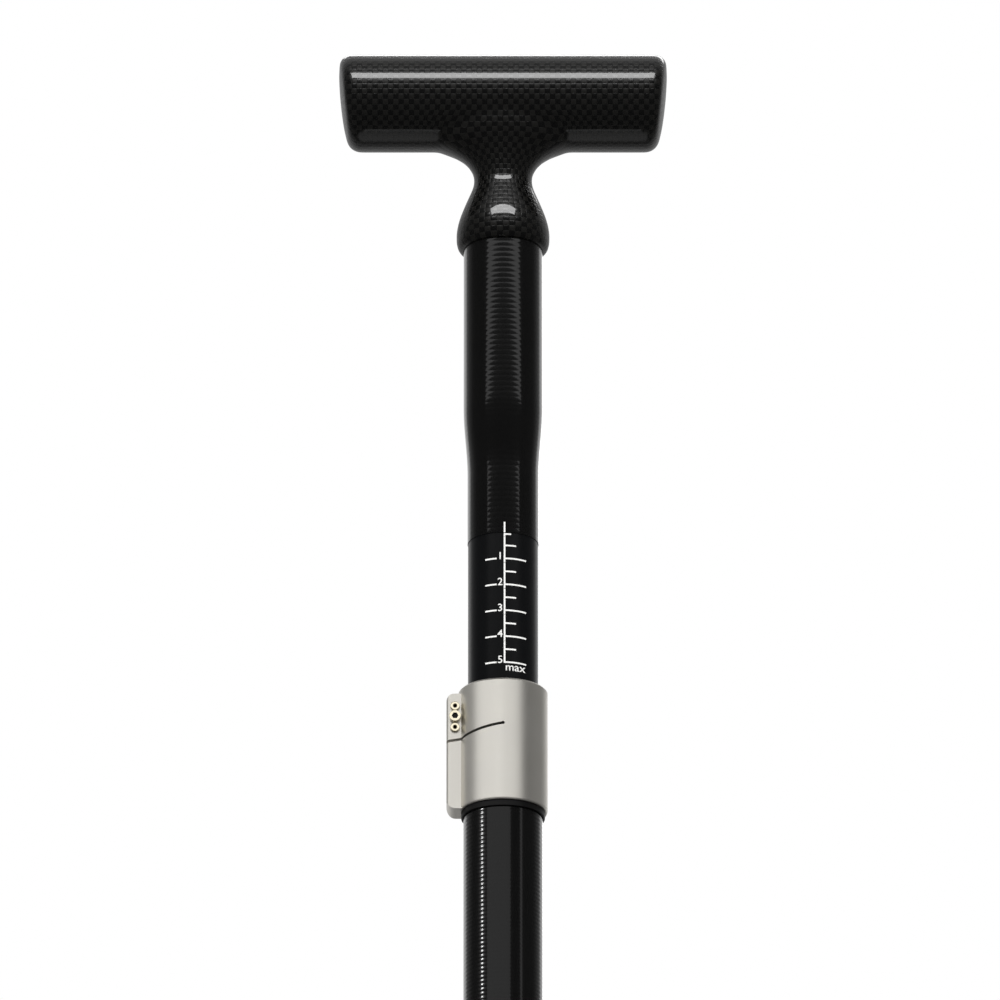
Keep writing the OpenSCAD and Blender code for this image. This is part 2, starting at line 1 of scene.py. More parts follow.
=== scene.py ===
# %% [markdown]
# # A long-handled beach sand scoop
#
# The scoop's exact parts come from CAD as a fixed frame: a perforated stainless
# bucket on a two-part carbon shaft, with a T-grip and a quick-release clamp.
# This notebook gives those parts their finishes. Where the real surface is
# softer or finer than CAD draws it, it models a new piece in the same place.

# %% Load the frame
import json
import math

import bpy
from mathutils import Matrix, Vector


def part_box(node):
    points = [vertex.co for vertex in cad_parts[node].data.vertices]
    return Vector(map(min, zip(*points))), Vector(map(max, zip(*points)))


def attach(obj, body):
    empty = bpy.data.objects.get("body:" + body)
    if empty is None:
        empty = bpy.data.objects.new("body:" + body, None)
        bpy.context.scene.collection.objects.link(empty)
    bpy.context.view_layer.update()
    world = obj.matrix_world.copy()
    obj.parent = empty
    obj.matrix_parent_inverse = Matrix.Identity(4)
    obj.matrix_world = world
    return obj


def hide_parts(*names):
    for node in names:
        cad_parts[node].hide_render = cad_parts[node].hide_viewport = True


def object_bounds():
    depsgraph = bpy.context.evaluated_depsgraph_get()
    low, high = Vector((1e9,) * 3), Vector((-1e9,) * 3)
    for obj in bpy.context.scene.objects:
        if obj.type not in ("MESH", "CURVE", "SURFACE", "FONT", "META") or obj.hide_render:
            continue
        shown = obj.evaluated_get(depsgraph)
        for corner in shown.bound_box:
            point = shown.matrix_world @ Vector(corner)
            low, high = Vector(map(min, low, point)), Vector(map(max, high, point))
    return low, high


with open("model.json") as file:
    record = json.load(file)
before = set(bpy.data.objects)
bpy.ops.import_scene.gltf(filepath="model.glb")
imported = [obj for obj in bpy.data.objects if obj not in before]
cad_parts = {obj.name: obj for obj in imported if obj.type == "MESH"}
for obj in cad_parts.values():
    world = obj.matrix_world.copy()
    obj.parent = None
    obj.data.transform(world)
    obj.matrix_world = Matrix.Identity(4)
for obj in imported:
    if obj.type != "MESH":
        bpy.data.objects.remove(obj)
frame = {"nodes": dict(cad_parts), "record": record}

cad_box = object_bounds()
nodes = frame["nodes"]
MM = 0.001

# %% [markdown]
# ## Heights to work from
#
# Every position below comes from the CAD nodes' own boxes, so a changed CAD
# size moves the finish with it. The shaft's axis is the Z axis.

# %% Read the main sizes
grip_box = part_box("t_grip")
tube_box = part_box("handle_tube")
clamp_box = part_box("clamp_body")
lower_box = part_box("lower_tube")

bar_radius = grip_box[1].y
bar_height = grip_box[1].z - bar_radius    # of its axis
bar_length = 2 * grip_box[1].x
zero_height = tube_box[0].z
collar_height = tube_box[1].z - 2.9 * MM
clamp_top = clamp_box[1].z
clamp_foot = clamp_box[0].z
ferrule_radius = 12.65 * MM
tube_radius = tube_box[1].x
print("bar", bar_radius, bar_height, bar_length, "zero", zero_height, "clamp", clamp_top)

# %% [markdown]
# ## The camera
#
# The scoop is seen from 21 degrees below, from so far off that parallel edges
# stay parallel and equal tubes look equal at both ends. A very long lens does
# that: its focal length follows from the distance and the height in the frame.

# %% Place the camera
view_height = 362 * MM
camera_distance = 8
camera_rise = math.radians(-21)
look_at = Vector((-1.1 * MM, 0, clamp_top + 74.4 * MM))

camera_data = bpy.data.cameras.new("camera")
camera_data.sensor_width = 36
camera_data.lens = camera_data.sensor_width * camera_distance / view_height
camera = bpy.data.objects.new("camera", camera_data)
bpy.context.scene.collection.objects.link(camera)
camera.location = look_at + camera_distance * Vector((0, -math.cos(camera_rise), math.sin(camera_rise)))
camera.rotation_euler = (look_at - camera.location).to_track_quat("-Z", "Y").to_euler()
bpy.context.scene.camera = camera
print("lens", round(camera_data.lens), "mm, camera at", tuple(round(x, 3) for x in camera.location))

# %% [markdown]
# ## Two small helpers for materials
#
# Colours are written as sRGB hex, as a colour picker shows them, and one
# function turns them to the linear values that shaders use. A second function
# adds any node: it sets the node up, fills its inputs with values or with
# other nodes' outputs, and gives back an output to pass on.


# %% Colour and node helpers
def linear(code):
    """The linear colour of an sRGB hex code."""
    channels = [int(code[i:i + 2], 16) / 255 for i in (1, 3, 5)]
    return tuple(c / 12.92 if c <= 0.04045 else ((c + 0.055) / 1.055) ** 2.4
                 for c in channels) + (1.0,)


def add_node(tree, kind, *inputs, named=None, output=0, **settings):
    """Adds a node with its settings. Inputs are filled in order, or by name from named."""
    node = tree.nodes.new("ShaderNode" + kind)
    for key, value in settings.items():
        setattr(node, key, value)
    for key, value in [*enumerate(inputs), *(named or {}).items()]:
        if isinstance(value, bpy.types.NodeSocket):
            tree.links.new(value, node.inputs[key])
        else:
            node.inputs[key].default_value = value
    return node.outputs[output] if node.outputs else None


def new_material(name, colour, roughness, metallic=0.0, **sockets):
    """A Principled material, its node tree and its shader. An underscore stands for a space."""
    material = bpy.data.materials.new(name)
    material.use_nodes = True
    shader = material.node_tree.nodes["Principled BSDF"]
    shader.inputs["Base Color"].default_value = linear(colour)
    shader.inputs["Roughness"].default_value = roughness
    shader.inputs["Metallic"].default_value = metallic
    for key, value in sockets.items():
        shader.inputs[key.replace("_", " ")].default_value = value
    return material, material.node_tree, shader


# %% [markdown]
# ## The studio
#
# Glossy black carbon is lit by what it mirrors, so the room around it is dark,
# with a soft white wall behind that draws thin bright edges down the tubes.
# The world gives mirror-like rays that room, as a few soft patches of light.
# It gives matt surfaces an even white light, and the camera a white backdrop.

# %% World
world = bpy.data.worlds.new("studio")
bpy.context.scene.world = world
world.use_nodes = True
sky = world.node_tree
sky.nodes.clear()
direction = add_node(sky, "TexCoord", output="Generated")


def soft_patch(azimuth, rise, inner, outer, radiance):
    """A round patch of light, full to inner degrees from its middle and gone at outer degrees."""
    azimuth, rise = math.radians(azimuth), math.radians(rise)
    middle = (math.sin(azimuth) * math.cos(rise), -math.cos(azimuth) * math.cos(rise), math.sin(rise))
    facing = add_node(sky, "VectorMath", direction, middle, operation="DOT_PRODUCT", output="Value")
    return add_node(sky, "MapRange", interpolation_type="SMOOTHSTEP", named={
        "Value": facing, "From Min": math.cos(math.radians(outer)),
        "From Max": math.cos(math.radians(inner)), "To Max": radiance})


dark_room = 0.045
behind = soft_patch(180, 22, 30, 78, 0.22)
ground = soft_patch(180, -72, 5, 20, 0.26)    # seen in the grip's underside
ceiling = soft_patch(0, 90, 15, 60, 0.12)
room = add_node(sky, "Math", dark_room, behind, operation="ADD")
room = add_node(sky, "Math", room, ground, operation="ADD")
room = add_node(sky, "Math", room, ceiling, operation="ADD")
rays = add_node(sky, "LightPath").node.outputs
seen = add_node(sky, "Mix", output="Result", named={"Factor": rays["Is Glossy Ray"], "A": 0.95, "B": room})
seen = add_node(sky, "Mix", output="Result", named={"Factor": rays["Is Camera Ray"], "A": seen, "B": 1.0})
glow = add_node(sky, "Background", named={"Color": (1, 1, 1, 1), "Strength": seen})
add_node(sky, "OutputWorld", named={"Surface": glow})
bpy.context.scene.view_settings.view_transform = "Standard"    # plain sRGB, so a white backdrop is white
print("world nodes:", len(sky.nodes))

# %% [markdown]
# ## Soft boxes
#
# Carbon and metal need different lamps: a box that suits satin metal would
# turn black carbon grey. So each box lights one group of pieces, by light
# linking, much as a photographer flags a lamp off part of a set. The carbon
# has thin strips, and the metal stands among large boxes that it can mirror.

# %% Hang the soft boxes
groups = {name: bpy.data.collections.new("lit_" + name)
          for name in ("grip", "handle", "shaft", "clamp", "bucket", "rim")}


def soft_box(name, group, aim, azimuth, rise, distance, width, height, radiance, shape="RECTANGLE"):
    """An area light that faces the point aim; azimuth 0 is in front, positive to the right."""
    light = bpy.data.lights.new(name, "AREA")
    light.shape = shape
    light.size, light.size_y = width, height
    light.energy = radiance * math.pi * width * height
    lamp = bpy.data.objects.new(name, light)
    bpy.context.scene.collection.objects.link(lamp)
    azimuth, rise = math.radians(azimuth), math.radians(rise)
    lamp.location = aim + distance * Vector((math.sin(azimuth) * math.cos(rise),
                                             -math.cos(azimuth) * math.cos(rise),
                                             math.sin(rise)))
    lamp.rotation_euler = (aim - lamp.location).to_track_quat("-Z", "Y").to_euler()
    lamp.visible_camera = False
    lamp.light_linking.receiver_collection = groups[group]
    print(name, "at", tuple(round(x, 2) for x in lamp.location))


grip_point = Vector((0, 0, bar_height))
handle_point = Vector((0, 0, collar_height))
clamp_point = Vector((0, 0, clamp_top - 20 * MM))
shaft_point = Vector((0, 0, clamp_foot - 30 * MM))
bucket_point = Vector((0, 0, 0.05))
soft_box("grip_strip", "grip", grip_point, 0, 48, 1.6, 1.5, 0.44, 8.0)
soft_box("handle_box", "handle", handle_point + Vector((0, 0, 98 * MM)), 1, 21, 0.9, 2.3, 0.15, 0.7, "ELLIPSE")
soft_box("shaft_box", "shaft", shaft_point, -13, 21, 1.5, 1.9, 0.9, 0.42)
soft_box("shaft_glint", "shaft", shaft_point + Vector((0, 0, 0.05)), -64, 21, 1.5, 0.15, 0.14, 26.0)
soft_box("shaft_side", "shaft", shaft_point, 54, 21, 1.5, 0.16, 0.9, 0.5)
soft_box("grip_back", "grip", grip_point, 172, 40, 1.6, 1.2, 0.3, 2.5)
soft_box("handle_back", "handle", handle_point, 171, 10, 1.6, 0.25, 1.4, 1.6)
soft_box("shaft_back", "shaft", Vector((0, 0, 0.55)), 171, 8, 1.6, 0.25, 1.6, 1.6)
soft_box("clamp_front_left", "clamp", clamp_point, -42, 20, 2.0, 2.5, 1.4, 1.1)
soft_box("clamp_front_right", "clamp", clamp_point, 18, 20, 2.0, 2.1, 1.4, 1.02)
soft_box("clamp_left", "clamp", clamp_point, -100, 18, 2.2, 1.3, 1.5, 0.24)
soft_box("clamp_right", "clamp", clamp_point, 92, 18, 2.2, 1.6, 1.5, 0.16)
soft_box("clamp_back", "clamp", clamp_point, 172, 22, 2.0, 1.0, 1.2, 0.8)
soft_box("bucket_front", "bucket", bucket_point, -35, 25, 1.9, 2.2, 1.6, 1.15)
soft_box("bucket_right", "bucket", bucket_point, 62, 22, 1.9, 2.0, 1.4, 0.7)
soft_box("bucket_back", "bucket", bucket_point, 150, 25, 1.9, 2.0, 1.6, 1.0)
soft_box("bucket_left", "bucket", bucket_point, -118, 22, 1.9, 2.0, 1.4, 0.75)
soft_box("bucket_ceiling", "bucket", bucket_point, 0, 89, 2.4, 2.6, 2.6, 0.85)
over_floor = Vector((0, 0, 0.4))
floor_drop = over_floor.z - cad_box[0].z + 0.3 * MM    # just above the floor, facing up
soft_box("floor_bounce", "bucket", over_floor, 0, -90, floor_drop, 2.2, 2.2, 0.5)
soft_box("white_wall", "rim", clamp_point, 180, 12, 2.2, 4.2, 2.4, 0.5)

# %% [markdown]
# ## Floor
#
# A plain pale floor catches the scoop's soft shadow. The camera is lower than
# it and looks up, so the floor is just small enough to stay out of the way.

# %% Lay the floor
bpy.ops.object.select_all(action="DESELECT")
bpy.ops.mesh.primitive_plane_add(size=4, location=(0, 0, cad_box[0].z - 0.5 * MM))
floor = bpy.context.object
floor.name = "floor"
floor_paint, _, _ = new_material("pale_floor_paint", "#e9e8e4", 0.85)
floor.data.materials.append(floor_paint)
floor.visible_glossy = False    # the black carbon mirrors a dark room, not the floor
print("floor at", round(floor.location.z, 4), "m")

# %% [markdown]
# ## Finish: woven carbon under clear coat
#
# The T-grip is moulded from a plain-weave carbon cloth and coated. Each tow is
# about 1.9 mm wide and crosses over one and under the next, so the cloth is a
# chequer of small crowns, and crowns that run one way catch the light
# differently from those that run the other. The coat over them is a smooth
# mirror. The cloth is wrapped along the bar and round the neck, so the pattern
# is measured along each of them and changes over where they join.

# %% Measure along the cloth
tow = 1.9 * MM
bar_tows = 28       # tows from the bar's top to its bottom
neck_tows = 46      # tows round the neck
weave_material, tree, shader = new_material("clear_coated_carbon_weave", "#050505", 0.34, 0.0,
                                            Coat_Weight=1.0, Coat_Roughness=0.02, Coat_IOR=1.5,
                                            Specular_IOR_Level=0.25)
x, y, z = add_node(tree, "SeparateXYZ", add_node(tree, "TexCoord", output="Object")).node.outputs
depth = add_node(tree, "Math", y, operation="ABSOLUTE")
above_bar = add_node(tree, "Math", z, bar_height, operation="SUBTRACT")
along_bar = add_node(tree, "Math", x, 1 / tow, operation="MULTIPLY")
round_bar = add_node(tree, "Math", depth, above_bar, operation="ARCTAN2")
down_bar = add_node(tree, "Math", round_bar, -bar_tows / math.pi, 0.5, operation="MULTIPLY_ADD")
neck_turn = add_node(tree, "Math", x, depth, operation="ARCTAN2")
round_neck = add_node(tree, "Math", neck_turn, neck_tows / (2 * math.pi), operation="MULTIPLY")
down_neck = add_node(tree, "Math", above_bar, 1 / tow, 0.5 - bar_tows / 2, operation="MULTIPLY_ADD")
print("tow", tow / MM, "mm,", bar_tows, "over the bar,", neck_tows, "round the neck")

# %% [markdown]
# The change from the bar's measure to the neck's is gradual: it follows how far
# below the bar and how near the neck a point lies. A plain weave is a product
# of two sine waves. Its size gives each crown's height, and its sign says
# which tow is on top. The top tow is coloured a little lighter, as painted
# sheen for the light that its crown catches.

# %% Weave the cloth
below_bar = add_node(tree, "Math", above_bar, -1.0, operation="MULTIPLY")
low_down = add_node(tree, "MapRange", interpolation_type="SMOOTHSTEP", named={
    "Value": below_bar, "From Min": 7 * MM, "From Max": 18 * MM})
beside_neck = add_node(tree, "Math", x, operation="ABSOLUTE")
near_neck = add_node(tree, "MapRange", interpolation_type="SMOOTHSTEP", named={
    "Value": beside_neck, "From Min": 16 * MM, "From Max": 32 * MM, "To Min": 1.0, "To Max": 0.0})
on_neck = add_node(tree, "Math", low_down, near_neck, operation="MULTIPLY")
waves = []
for on_bar, on_the_neck in ((along_bar, round_neck), (down_bar, down_neck)):
    place = add_node(tree, "Mix", output="Result", named={"Factor": on_neck, "A": on_bar, "B": on_the_neck})
    angle = add_node(tree, "Math", place, math.pi, operation="MULTIPLY")
    waves.append(add_node(tree, "Math", angle, operation="SINE"))
weave = add_node(tree, "Math", *waves, operation="MULTIPLY")
size = add_node(tree, "Math", weave, operation="ABSOLUTE")
crown = add_node(tree, "Math", size, 0.45, operation="POWER")    # below 1 rounds the crown's top
top_tow = add_node(tree, "Math", weave, 0.0, operation="GREATER_THAN")
# The weave's two tones are painted sheen: the top tow is coloured lighter in place of the light its crown
# catches.
painted_tow_sheen = add_node(tree, "Mix", data_type="RGBA", output="Result", named={
    "Factor": top_tow, "A": linear("#030303"), "B": linear("#0f0e0c")})
tree.links.new(painted_tow_sheen, shader.inputs["Base Color"])
tow_gloss = add_node(tree, "MapRange", named={"Value": top_tow, "To Min": 0.26, "To Max": 0.42})
tree.links.new(tow_gloss, shader.inputs["Roughness"])
tow_bump = add_node(tree, "Bump", named={"Strength": 1.0, "Distance": 0.1 * MM, "Height": crown})
tree.links.new(tow_bump, shader.inputs["Normal"])
print(weave_material.name, len(tree.nodes), "nodes")

# %% [markdown]
# ## Finish: wound and ground carbon
#
# The tubes are rolled, bound with shrink tape and cured, and the tape leaves a
# fine spiral of rings. The rings are modelled below. The finish is black resin
# with a semi-gloss skin: dark, with soft reflections and a faint mottle where
# resin is thicker. The ferrule is the same tube ground smooth and lacquered.
# A mottle is noise that varies the roughness, and many finishes here use one.


# %% Tube and ferrule finishes
def mottle(tree, shader, per_metre, detail, low, high, grain=0.5):
    """Varies the roughness from low to high with noise of so many patches in a metre."""
    noise = add_node(tree, "TexNoise", named={"Vector": add_node(tree, "TexCoord", output="Object"),
                                              "Scale": per_metre, "Detail": detail, "Roughness": grain})
    gloss = add_node(tree, "MapRange", named={"Value": noise, "To Min": low, "To Max": high})
    tree.links.new(gloss, shader.inputs["Roughness"])
    return noise


wound_material, tree, shader = new_material("tape_wound_carbon_tube", "#070707", 0.3,
                                            Coat_Weight=1.0, Coat_Roughness=0.06, Coat_IOR=1.45,
                                            Specular_IOR_Level=0.25)
mottle(tree, shader, 420.0, 3.0, 0.18, 0.28, 0.6)    # resin pools, 2.4 mm
satin_material, tree, shader = new_material("ground_and_lacquered_carbon", "#08090c", 0.3)
mottle(tree, shader, 900.0, 2.0, 0.26, 0.36)    # grinding haze, 1.1 mm, drawn coarse enough to show
print(wound_material.name, satin_material.name)

# %% [markdown]
# ## Finish: white ink
#
# The scale is screen-printed. Thick matt ink is nearly even white, a little
# thinner in specks about the size of the screen's mesh, 0.4 mm.

# %% Ink
ink_material, tree, shader = new_material("screen_printed_white_ink", "#f2f2ef", 0.55)
thin_ink = add_node(tree, "TexNoise", named={"Vector": add_node(tree, "TexCoord", output="Object"),
                                             "Scale": 2600.0, "Detail": 1.0})
specks = add_node(tree, "MapRange", named={"Value": thin_ink, "From Min": 0.35, "From Max": 0.6})
ink = add_node(tree, "Mix", data_type="RGBA", output="Result", named={
    "Factor": specks, "A": linear("#dcdcda"), "B": linear("#f8f8f6")})
tree.links.new(ink, shader.inputs["Base Color"])
print(ink_material.name)

# %% [markdown]
# ## Finish: blasted aluminium
#
# The clamp is a casting that was blasted with fine grit and clear-anodised: a
# bright metal with a wide, soft highlight. Grit leaves pits near 0.1 mm across,
# drawn at 0.45 mm so that they show, and the anodising clouds over 11 mm or so.

# %% Clamp finish
blasted_material, tree, shader = new_material("bead_blasted_anodised_aluminium", "#dcd9d1", 0.4, 1.0)
cloud = mottle(tree, shader, 90.0, 3.0, 0.36, 0.46)
grit = add_node(tree, "TexNoise", named={"Vector": add_node(tree, "TexCoord", output="Object"),
                                         "Scale": 2200.0, "Detail": 2.0, "Roughness": 0.55})
pits = add_node(tree, "Bump", named={"Strength": 0.5, "Distance": 0.02 * MM, "Height": grit})
tree.links.new(pits, shader.inputs["Normal"])
tint = add_node(tree, "Mix", data_type="RGBA", output="Result", named={
    "Factor": cloud, "A": linear("#d8d5cc"), "B": linear("#e2dfd9")})
tree.links.new(tint, shader.inputs["Base Color"])
print(blasted_material.name)

# %% [markdown]
# ## Finish: small metal parts, nylon and rubber
#
# The pins and the nut are turned from stainless steel, so they carry fine
# marks and shine more sharply. The lever is tumbled with stones, the bolt is
# blackened in hot oil, the sleeve and pad are spark-grained black nylon, and
# the plugs are rubber with a dusty bloom.

# %% Small part finishes
turned_material, tree, shader = new_material("turned_stainless_steel", "#f3ead0", 0.22, 1.0)
mottle(tree, shader, 3000.0, 1.0, 0.16, 0.3)     # tool marks, 0.3 mm
lever_material, tree, shader = new_material("tumbled_aluminium", "#cfd0cf", 0.3, 1.0)
mottle(tree, shader, 500.0, 4.0, 0.22, 0.4)      # stone marks, 2 mm
oxide_material, tree, shader = new_material("black_oxide_steel", "#141414", 0.45, 0.6)
mottle(tree, shader, 1500.0, 2.0, 0.38, 0.55)    # oil film, 0.7 mm
rubber_material, tree, shader = new_material("black_moulded_rubber", "#161616", 0.75)
mottle(tree, shader, 600.0, 3.0, 0.65, 0.85)     # bloom, 1.7 mm
nylon_material, tree, shader = new_material("black_moulded_nylon", "#060606", 0.5, Specular_IOR_Level=0.25)
grain = add_node(tree, "TexNoise", named={"Vector": add_node(tree, "TexCoord", output="Object"),
                                          "Scale": 1800.0, "Detail": 2.0})    # spark grain, 0.6 mm
spark = add_node(tree, "Bump", named={"Strength": 0.4, "Distance": 0.02 * MM, "Height": grain})
tree.links.new(spark, shader.inputs["Normal"])
print("materials so far:", len(bpy.data.materials))

# %% [markdown]
# ## Finish: brushed stainless steel
#
# Stainless sheet is brushed in one direction before it is folded. The brush
# lines are hundredths of a millimetre apart, too fine to show, so they are
# drawn about 0.6 mm apart. They are noise stretched along the brushing. A
# larger cloudy pattern, 38 mm across, varies the gloss and the tone, as
# handling and wet sand do.


# %% Brushed steel
def brushed_steel(name, colour, roughness, brush):
    """brush is the number of lines in a metre along X, Y and Z: few along the brush lines."""
    material, tree, shader = new_material(name, colour, roughness, 1.0)
    place = add_node(tree, "TexCoord", output="Object")
    stretch = add_node(tree, "Mapping", named={"Vector": place, "Scale": brush})
    lines = add_node(tree, "TexNoise", named={"Vector": stretch, "Scale": 1.0, "Detail": 4.0, "Roughness": 0.7})
    bloom = add_node(tree, "TexNoise", named={"Vector": place, "Scale": 26.0, "Detail": 5.0, "Roughness": 0.6})
    fine = add_node(tree, "Math", lines, 0.4, operation="MULTIPLY")
    mixed = add_node(tree, "Math", bloom, 0.6, fine, operation="MULTIPLY_ADD")
    gloss = add_node(tree, "MapRange", named={"Value": mixed, "From Min": 0.3, "From Max": 0.7,
                                              "To Min": roughness - 0.08, "To Max": roughness + 0.12})
    tree.links.new(gloss, shader.inputs["Roughness"])
    dull = tuple(c * 0.82 for c in linear(colour)[:3]) + (1,)
    tone = add_node(tree, "Mix", data_type="RGBA", output="Result", named={
        "Factor": bloom, "A": linear(colour), "B": dull})
    tree.links.new(tone, shader.inputs["Base Color"])
    scratch = add_node(tree, "Bump", named={"Strength": 0.35, "Distance": 0.02 * MM, "Height": lines})
    tree.links.new(scratch, shader.inputs["Normal"])
    return material


bucket_material = brushed_steel("brushed_stainless_sheet", "#c9cacb", 0.33, (60, 1600, 1600))
socket_material = brushed_steel("brushed_stainless_tube", "#c4c5c6", 0.3, (1500, 1500, 60))
rim_material = brushed_steel("polished_stainless_bar", "#d2d3d4", 0.24, (300, 300, 300))
lip_material = brushed_steel("ground_stainless_plate", "#bfc0c1", 0.3, (1800, 90, 90))
bolt_material = brushed_steel("bright_stainless_fastener", "#d4d5d6", 0.22, (900, 900, 900))
weld_material = brushed_steel("weld_bead", "#d3cdc4", 0.34, (700, 700, 700))
print("materials:", len(bpy.data.materials))

# %% [markdown]
# ## Softened copies of CAD parts
#
# CAD draws knife edges, and no real edge is one: a deburred edge catches a
# thin line of light. A node whose shape is right, but whose edges show, is
# copied, its loose triangles are merged into whole faces, and a Bevel modifier
# rounds what is sharper than 30 degrees. The copy stands for the node.


# %% Softening
def deselect():
    if bpy.context.mode != "OBJECT":
        bpy.ops.object.mode_set(mode="OBJECT")
    bpy.ops.object.select_all(action="DESELECT")


def make_active(piece):
    deselect()
    piece.select_set(True)
    bpy.context.view_layer.objects.active = piece


def apply_modifiers(piece):
    make_active(piece)
    for modifier in list(piece.modifiers):
        bpy.ops.object.modifier_apply(modifier=modifier.name)


def body_of(node):
    return next(body for body, members in frame["record"]["behaviour"]["bodies"].items() if node in members)


lit_groups = {"clear_coated_carbon_weave": "grip", "tape_wound_carbon_tube": "shaft",
              "ground_and_lacquered_carbon": "handle", "screen_printed_white_ink": "clamp"}


def light_by(piece):
    """Puts the piece in the group of soft boxes that suits its finish."""
    group = "handle" if piece.name.startswith("handle_tube") else \
        lit_groups.get(piece.material_slots[0].material.name, "clamp")
    if max(corner[2] for corner in piece.bound_box) < clamp_foot / 2:
        group = "bucket"
    groups[group].objects.link(piece)
    if group != "grip":
        groups["rim"].objects.link(piece)


def finish_piece(piece, material, body, stands_for=()):
    piece.data.materials.clear()
    piece.data.materials.append(material)
    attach(piece, body)
    if stands_for:
        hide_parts(*stands_for)
    light_by(piece)
    print(piece.name, len(piece.data.polygons), "faces on", body)


def soften(node, name, material, width, segments=2):
    source = nodes[node]
    piece = source.copy()
    piece.data = source.data.copy()
    for key in [k for k in piece.keys() if k.startswith("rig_")]:
        del piece[key]
    piece.parent = None
    piece.name = piece.data.name = name
    bpy.context.scene.collection.objects.link(piece)
    make_active(piece)
    bpy.ops.object.mode_set(mode="EDIT")
    bpy.ops.mesh.select_all(action="SELECT")
    bpy.ops.mesh.remove_doubles(threshold=0.002 * MM)
    bpy.ops.mesh.dissolve_limited(angle_limit=math.radians(0.4))
    bpy.ops.mesh.select_all(action="DESELECT")
    bpy.ops.object.mode_set(mode="OBJECT")
    bevel = piece.modifiers.new("edge", "BEVEL")
    bevel.width = width
    bevel.segments = segments
    bevel.limit_method = "ANGLE"
    bevel.angle_limit = math.radians(30)
    apply_modifiers(piece)
    bpy.ops.object.shade_smooth_by_angle(angle=math.radians(32))
    flat = piece.modifiers.new("flat", "WEIGHTED_NORMAL")    # keeps big faces flat beside rounded edges
    flat.weight = 100
    flat.keep_sharp = True
    apply_modifiers(piece)
    finish_piece(piece, material, body_of(node), [node])
    return piece


# %% [markdown]
# ## T-grip
#
# The T-grip is one smooth moulding: a bar whose ends are slightly domed and
# lean in towards the bottom, a waisted neck that flares into it, and a collar
# with a rounded edge. Separate shapes with a boolean leave a crease where they
# meet. So the bar and the neck are modelled as simple solids that overlap, and
# a voxel remesh with smoothing flows them into one skin.

# %% [markdown]
# ### The bar
#
# It starts as a cylinder. Each end's cap is turned 6 degrees about its top, so
# that the bar is shorter below, and its edge is rounded. Three inset steps then
# raise the cap into a shallow dome.

# %% Bar
deselect()
shell_length = bar_length + 2.4 * MM    # the smoothing below takes this back
bpy.ops.mesh.primitive_cylinder_add(vertices=128, radius=bar_radius + 0.6 * MM, depth=shell_length,
                                    location=(0, 0, bar_height), rotation=(0, math.pi / 2, 0))
bar = bpy.context.object
bar.name = "t_grip_shell"
bpy.ops.object.transform_apply(location=True, rotation=True, scale=True)
lean = math.radians(6)


def pick_faces(piece, test):
    """Selects the faces whose centre and normal pass the test, and nothing else, then enters edit mode."""
    make_active(piece)
    bpy.context.tool_settings.mesh_select_mode = (False, False, True)
    bpy.ops.object.mode_set(mode="EDIT")
    bpy.ops.mesh.select_all(action="DESELECT")
    bpy.ops.object.mode_set(mode="OBJECT")
    for face in piece.data.polygons:
        face.select = bool(test(face.center, face.normal))
    bpy.ops.object.mode_set(mode="EDIT")


for side in (-1, 1):
    pick_faces(bar, lambda c, n: n.x * side > 0.9 and c.x * side > 0.49 * shell_length)
    bpy.ops.transform.rotate(value=-side * lean, orient_axis="Y",
                             center_override=(side * shell_length / 2, 0, bar_height + bar_radius))
    bpy.ops.mesh.bevel(offset=4.6 * MM, segments=10, profile=0.5, affect="EDGES")
    bpy.ops.object.mode_set(mode="OBJECT")
    cap = max((f for f in bar.data.polygons if f.center.x * side > 0.4 * bar_length), key=lambda f: f.area)
    cap_centre = cap.center.copy()
    pick_faces(bar, lambda c, n: (c - cap_centre).length < 0.01 * MM)
    for step, rise in ((3 * MM, 0.45 * MM), (4 * MM, 0.25 * MM), (3 * MM, 0.1 * MM)):
        bpy.ops.mesh.inset(thickness=step)
        bpy.ops.transform.translate(value=(side * rise, 0, 0))
    bpy.ops.object.mode_set(mode="OBJECT")
low_x = max(v.co.x for v in bar.data.vertices if v.co.z < bar_height - 0.6 * bar_radius)
high_x = max(v.co.x for v in bar.data.vertices if v.co.z > bar_height + 0.5 * bar_radius)
print("bar end: bottom", round(low_x / MM, 2), "top", round(high_x / MM, 2))

# %% [markdown]
# ### Neck and collar
#
# The neck is a disc extruded upwards in short steps, each resized to the
# moulding's outline at that height. Near the bar the neck grows wide along the
# bar and stays slim across it. The last steps are buried in the bar.

# %% Neck and collar
# height above the collar's edge, half-width along the bar, half-depth, in mm
neck_sections = [
    (0.0, 14.9, 14.9), (0.5, 15.6, 15.6), (1.5, 16.15, 16.15), (3.0, 16.5, 16.5), (6.0, 16.62, 16.62),
    (8.5, 16.35, 16.35), (10.8, 15.85, 15.85), (13.1, 15.15, 15.15), (15.4, 14.3, 14.3),
    (17.8, 13.35, 13.35), (20.1, 12.4, 12.4), (22.4, 11.4, 11.4), (24.7, 10.55, 10.55),
    (27.1, 10.15, 10.15), (29.4, 10.25, 10.25), (31.7, 11.1, 10.6), (34.1, 12.6, 11.1),
    (36.4, 15.0, 11.8), (38.7, 18.8, 12.6), (40.4, 23.2, 13.3), (41.8, 27.0, 13.9),
    (45.0, 27.5, 15.0), (50.0, 27.5, 15.6), (54.0, 24.0, 12.0)]
deselect()
swell = 0.35    # the smoothing takes this back
neck_sections = [(rise, wide + swell, deep + swell) for rise, wide, deep in neck_sections]
first = neck_sections[0]
bpy.ops.mesh.primitive_circle_add(vertices=96, radius=first[1] * MM, fill_type="NGON",
                                  location=(0, 0, collar_height + first[0] * MM))
neck = bpy.context.object
bpy.ops.object.transform_apply(location=True, rotation=True, scale=True)
bpy.ops.object.mode_set(mode="EDIT")
bpy.ops.mesh.select_all(action="SELECT")
